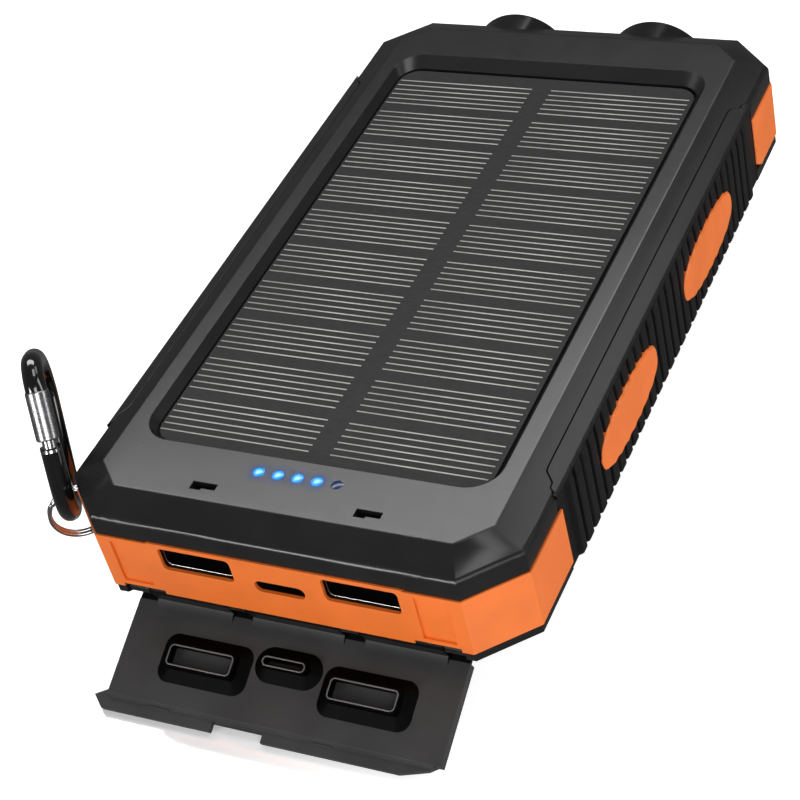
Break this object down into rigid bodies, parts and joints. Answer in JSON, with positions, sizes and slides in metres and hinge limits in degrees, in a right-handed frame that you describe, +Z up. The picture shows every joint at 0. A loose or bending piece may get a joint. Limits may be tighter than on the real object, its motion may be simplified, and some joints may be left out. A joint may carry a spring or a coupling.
{
  "type": "solar power bank",
  "caption": "Rugged solar power bank with hinged port flap, side grips, twin torch heads and a small carabiner.",
  "frame": {"origin": "centre of the flat bottom face of the case", "axes": "+Z up through the solar panel, +Y towards the torch end, +X right seen from the port end"},
  "size_m": [0.0928, 0.1592, 0.0467],
  "materials": {
    "case": "fine-grained matt black moulding",
    "flap": "matt black moulding",
    "orange": "satin orange moulding",
    "grip": "ribbed matt rubber",
    "silicone": "soft black silicone",
    "port_black": "black insulator",
    "contact_shell": "bright stamped steel",
    "board": "green solder mask",
    "chips": "black moulded packages",
    "solar_base": "black laminate",
    "solar_cell": "dark silicon with printed lines",
    "clear_film": "clear laminate",
    "tape": "black foam tape",
    "light_guide": "clear blue-lit acrylic",
    "led": "white chip LEDs",
    "battery": "foil pouch",
    "foam": "grey foam",
    "lead": "red and black insulation",
    "torch_bezel": "gloss black",
    "reflector": "vacuum-metallised",
    "lens": "clear",
    "screw": "blackened steel",
    "steel": "bright nickel",
    "clip_black": "gloss black lacquer",
    "clip_gate": "satin silver"
  },
  "bodies": {
    "case": {"battery_leads": "lead", "battery_lower": "battery", "battery_pad": "foam", "battery_upper": "battery", "bottom_cover": "case", "capacitors": "chips", "case_screws": "screw", "charge_leds": "led", "control_chips": "chips", "flap_pin": "screw", "front_bumper": "orange", "grip_inlay_left_front": "orange", "grip_inlay_left_rear": "orange", "grip_inlay_right_front": "orange", "grip_inlay_right_rear": "orange", "grip_left": "grip", "grip_right": "grip", "lanyard_pin": "steel", "led_board": "board", "light_guide": "light_guide", "main_board": "board", "panel_tape": "tape", "port_plate": "port_black", "power_inductor": "chips", "rear_corner_left": "orange", "rear_corner_right": "orange", "solar_board": "solar_base", "solar_cells": "solar_cell", "solar_film": "clear_film", "switch_board": "board", "switch_can": "contact_shell", "top_cover": "case", "torch_bezel_left": "torch_bezel", "torch_bezel_right": "torch_bezel", "torch_board": "board", "torch_emitters": "led", "torch_lens_left": "lens", "torch_lens_right": "lens", "torch_reflector_left": "reflector", "torch_reflector_right": "reflector", "torch_seal_left": "silicone", "torch_seal_right": "silicone", "usb_a_shell_left": "contact_shell", "usb_a_shell_right": "contact_shell", "usb_a_tongue_left": "port_black", "usb_a_tongue_right": "port_black", "usb_c_shell": "contact_shell", "usb_c_tongue": "port_black"},
    "flap": {"port_flap": "flap", "flap_plug_left": "silicone", "flap_plug_right": "silicone", "flap_plug_middle": "silicone"},
    "button": {"power_button": "silicone"},
    "plunger": {"switch_plunger": "port_black"},
    "ring": {"split_ring": "steel"},
    "clip": {"carabiner_body": "clip_black", "gate_pin": "steel"},
    "gate": {"carabiner_gate": "clip_gate", "gate_spring": "steel"}
  },
  "joints": [
    {"name": "flap_hinge", "type": "hinge", "parent": "case", "child": "flap", "pos_m": [0, -0.06863, 0.004], "axis": [1, 0, 0], "range_deg": [-112.7, 0]},
    {"name": "button_press", "type": "slide", "parent": "case", "child": "button", "axis": [1, 0, 0], "range_m": [0, 0.0004], "stiffness_N_per_m": 600},
    {"name": "switch_press", "type": "slide", "parent": "case", "child": "plunger", "axis": [1, 0, 0], "range_m": [0, 0.0004]},
    {"name": "ring_swing", "type": "hinge", "parent": "case", "child": "ring", "pos_m": [-0.039, -0.0604, 0.0118], "axis": [0.6252, -0.7804, 0], "range_deg": [-5, 12]},
    {"name": "clip_swing", "type": "hinge", "parent": "ring", "child": "clip", "pos_m": [-0.04219, -0.06309, 0.01278], "axis": [0.5194, -0.6877, 0.5073], "range_deg": [0, 100]},
    {"name": "gate_open", "type": "hinge", "parent": "clip", "child": "gate", "pos_m": [-0.04301, -0.05941, 0.0332], "axis": [-0.8201, -0.5681, 0.0695], "range_deg": [-28, 0], "stiffness_Nm_per_rad": 0.004}
  ],
  "couplings": [
    {"joint": "switch_press", "follows": "button_press", "ratio": 1}
  ]
}
